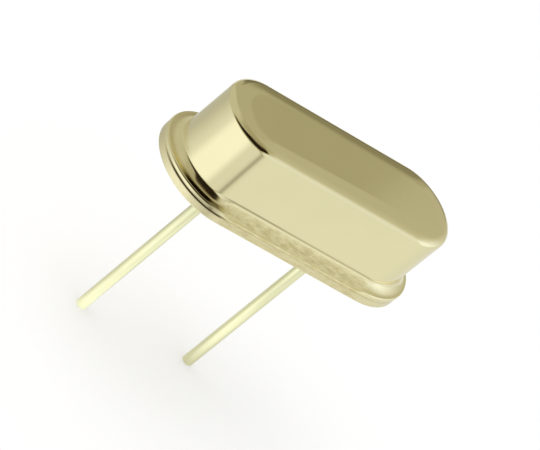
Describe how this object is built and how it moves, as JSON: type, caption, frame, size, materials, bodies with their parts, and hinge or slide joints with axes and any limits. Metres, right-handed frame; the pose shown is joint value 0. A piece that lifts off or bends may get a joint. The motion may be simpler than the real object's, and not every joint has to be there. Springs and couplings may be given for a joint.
{
  "type": "crystal oscillator",
  "caption": "Low-profile quartz crystal unit: an oblong drawn metal can with a flanged foot, sealed to a header plate with two long round wire leads.",
  "frame": {"origin": "centre of the header's underside, midway between the two leads, on the plane that seats on a board", "axes": "+Z towards the can's flat top, +X along the can from the left lead to the right lead, -Y towards the can's front side"},
  "size_m": [0.011, 0.0044, 0.0108],
  "materials": {
    "can_metal": "polished pale gold nickel silver, drawn from sheet",
    "header_metal": "plated stamped plate, pale gold, with a worked edge",
    "seal_glass": "fused dark green-grey glass",
    "lead_wire": "drawn wire with a smooth thin tin coat",
    "clip_spring": "nickel-plated spring sheet",
    "quartz": "clear lapped quartz",
    "electrode_film": "evaporated silver film",
    "adhesive": "cured silver-filled resin"
  },
  "bodies": {
    "root": {"can": "can_metal", "header": "header_metal", "glass_seal_left": "seal_glass", "glass_seal_right": "seal_glass", "lead_left": "lead_wire", "lead_right": "lead_wire", "clip_left": "clip_spring", "clip_right": "clip_spring", "quartz_blank": "quartz", "electrode_front": "electrode_film", "electrode_back": "electrode_film", "adhesive_left": "adhesive", "adhesive_right": "adhesive"}
  },
  "joints": []
}
